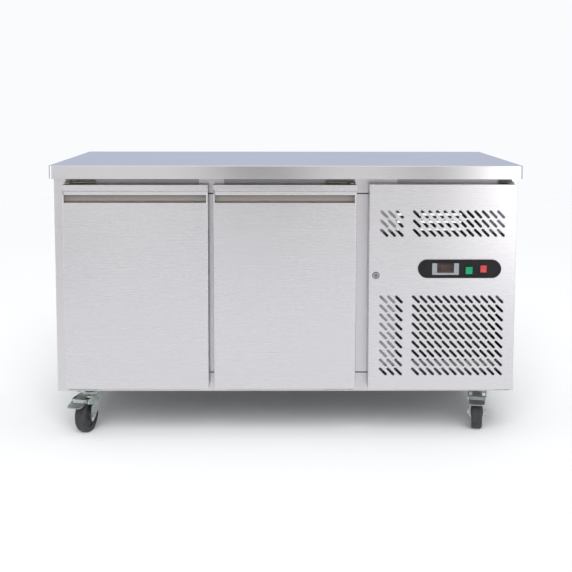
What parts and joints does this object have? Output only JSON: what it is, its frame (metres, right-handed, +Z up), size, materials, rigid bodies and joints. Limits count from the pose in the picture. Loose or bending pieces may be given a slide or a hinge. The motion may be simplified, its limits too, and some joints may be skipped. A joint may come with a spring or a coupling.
{
  "type": "undercounter refrigerator",
  "caption": "Stainless two-door counter refrigerator with a slotted machine-compartment panel, control panel and braked swivel castors.",
  "frame": {"origin": "on the floor under the centre of the worktop outline", "axes": "+X to the right as seen from the front, along the worktop; +Y to the back; +Z up"},
  "size_m": [1.36, 0.7, 0.805],
  "materials": {
    "stainless_worktop": "satin",
    "stainless_cabinet": "satin",
    "stainless_doors": "satin",
    "stainless_liner": "satin",
    "galvanised_steel": "satin",
    "polyurethane_foam": "matte",
    "grey_seal": "matte",
    "black_rubber": "matte",
    "castor_rubber": "matte",
    "zinc_plate": "satin",
    "coated_wire": "gloss",
    "black_plastic": "gloss",
    "matt_black_plastic": "matte",
    "grey_plastic": "satin",
    "dark_window": "gloss",
    "green_lens": "gloss",
    "red_lens": "gloss",
    "chrome_lock": "polished",
    "black_paint": "satin",
    "aluminium_fins": "satin",
    "copper": "satin",
    "fan_plastic": "satin"
  },
  "bodies": {
    "cabinet": {"worktop": "stainless_worktop", "worktop_core": "polyurethane_foam", "left_side_panel": "stainless_cabinet", "right_side_panel": "stainless_cabinet", "rear_panel": "galvanised_steel", "rear_grille": "galvanised_steel", "base_panel": "galvanised_steel", "frame_rails": "stainless_cabinet", "frame_posts": "stainless_cabinet", "cabinet_foam": "polyurethane_foam", "cavity_liner": "stainless_liner", "shelf_uprights": "stainless_liner", "left_shelf": "coated_wire", "right_shelf": "coated_wire", "evaporator_coil": "aluminium_fins", "evaporator_cover": "stainless_liner", "evaporator_fan_motor": "black_paint", "unit_tray": "galvanised_steel", "compressor": "black_paint", "compressor_feet": "black_rubber", "condenser_coil": "aluminium_fins", "fan_shroud": "black_paint", "condenser_fan_motor": "black_paint", "filter_drier": "copper", "refrigerant_pipes": "copper", "cable_gland": "matt_black_plastic", "hinge_brackets": "zinc_plate", "fixing_screws": "zinc_plate", "caster_plates": "zinc_plate"},
    "left_door": {"left_door_skin": "stainless_doors", "left_door_handle": "stainless_doors", "left_door_liner": "stainless_liner", "left_door_foam": "polyurethane_foam", "left_door_gasket": "grey_seal"},
    "right_door": {"right_door_skin": "stainless_doors", "right_door_handle": "stainless_doors", "right_door_liner": "stainless_liner", "right_door_foam": "polyurethane_foam", "right_door_gasket": "grey_seal"},
    "service_panel": {"service_panel": "stainless_doors", "control_bezel": "black_plastic", "temperature_controller": "grey_plastic", "controller_window": "dark_window", "control_housing": "matt_black_plastic", "panel_lock": "chrome_lock"},
    "lock_plug": {"lock_plug": "chrome_lock"},
    "green_rocker": {"green_rocker": "green_lens"},
    "red_rocker": {"red_rocker": "red_lens"},
    "condenser_fan": {"condenser_fan_blade": "aluminium_fins"},
    "evaporator_fan": {"evaporator_fan_blade": "fan_plastic"},
    "front_left_swivel": {"front_left_fork": "zinc_plate"},
    "front_left_wheel": {"front_left_wheel": "castor_rubber"},
    "front_right_swivel": {"front_right_fork": "zinc_plate"},
    "front_right_wheel": {"front_right_wheel": "castor_rubber"},
    "rear_left_swivel": {"rear_left_fork": "zinc_plate"},
    "rear_left_wheel": {"rear_left_wheel": "castor_rubber"},
    "rear_right_swivel": {"rear_right_fork": "zinc_plate"},
    "rear_right_wheel": {"rear_right_wheel": "castor_rubber"},
    "front_left_brake_pedal": {"front_left_brake_pedal": "zinc_plate"},
    "front_right_brake_pedal": {"front_right_brake_pedal": "zinc_plate"}
  },
  "joints": [
    {"name": "left_door_hinge", "type": "hinge", "parent": "cabinet", "child": "left_door", "pos_m": [-0.6293, -0.325, 0.45], "axis": [0, 0, -1], "range_deg": [0, 100]},
    {"name": "right_door_hinge", "type": "hinge", "parent": "cabinet", "child": "right_door", "pos_m": [0.1898, -0.325, 0.45], "axis": [0, 0, 1], "range_deg": [0, 100]},
    {"name": "service_panel_hinge", "type": "hinge", "parent": "cabinet", "child": "service_panel", "pos_m": [0.6486, -0.325, 0.45], "axis": [0, 0, 1], "range_deg": [0, 110]},
    {"name": "lock_turn", "type": "hinge", "parent": "service_panel", "child": "lock_plug", "pos_m": [0.26, -0.32, 0.4875], "axis": [0, 1, 0], "range_deg": [0, 90]},
    {"name": "green_rocker_tilt", "type": "hinge", "parent": "service_panel", "child": "green_rocker", "pos_m": [0.5294, -0.344, 0.5023], "axis": [-1, 0, 0], "range_deg": [0, 14]},
    {"name": "red_rocker_tilt", "type": "hinge", "parent": "service_panel", "child": "red_rocker", "pos_m": [0.571, -0.344, 0.507], "axis": [-1, 0, 0], "range_deg": [0, 14]},
    {"name": "condenser_fan_spin", "type": "hinge", "parent": "cabinet", "child": "condenser_fan", "pos_m": [0.45, -0.15, 0.31], "axis": [0, 1, 0], "continuous": true},
    {"name": "evaporator_fan_spin", "type": "hinge", "parent": "cabinet", "child": "evaporator_fan", "pos_m": [-0.217, 0.168, 0.642], "axis": [0, 1, 0], "continuous": true},
    {"name": "front_left_swivel_turn", "type": "hinge", "parent": "cabinet", "child": "front_left_swivel", "pos_m": [-0.588, -0.226, 0.115], "axis": [0, 0, 1], "continuous": true},
    {"name": "front_left_wheel_spin", "type": "hinge", "parent": "front_left_swivel", "child": "front_left_wheel", "pos_m": [-0.59765, -0.25964, 0.05], "axis": [0.9613, -0.2756, 0], "continuous": true},
    {"name": "front_left_brake_press", "type": "hinge", "parent": "front_left_swivel", "child": "front_left_brake_pedal", "pos_m": [-0.6073, -0.29329, 0.101], "axis": [-0.9613, 0.2756, 0], "range_deg": [0, 22]},
    {"name": "front_right_swivel_turn", "type": "hinge", "parent": "cabinet", "child": "front_right_swivel", "pos_m": [0.588, -0.195, 0.115], "axis": [0, 0, 1], "continuous": true},
    {"name": "front_right_wheel_spin", "type": "hinge", "parent": "front_right_swivel", "child": "front_right_wheel", "pos_m": [0.58132, -0.22936, 0.05], "axis": [0.9816, -0.1908, 0], "continuous": true},
    {"name": "front_right_brake_press", "type": "hinge", "parent": "front_right_swivel", "child": "front_right_brake_pedal", "pos_m": [0.57464, -0.26371, 0.101], "axis": [-0.9816, 0.1908, 0], "range_deg": [0, 22]},
    {"name": "rear_left_swivel_turn", "type": "hinge", "parent": "cabinet", "child": "rear_left_swivel", "pos_m": [-0.588, 0.262, 0.115], "axis": [0, 0, 1], "continuous": true},
    {"name": "rear_left_wheel_spin", "type": "hinge", "parent": "rear_left_swivel", "child": "rear_left_wheel", "pos_m": [-0.58252, 0.22743, 0.05], "axis": [0.9877, 0.1564, 0], "continuous": true},
    {"name": "rear_right_swivel_turn", "type": "hinge", "parent": "cabinet", "child": "rear_right_swivel", "pos_m": [0.588, 0.262, 0.115], "axis": [0, 0, 1], "continuous": true},
    {"name": "rear_right_wheel_spin", "type": "hinge", "parent": "rear_right_swivel", "child": "rear_right_wheel", "pos_m": [0.58072, 0.22776, 0.05], "axis": [0.9781, -0.2079, 0], "continuous": true}
  ]
}
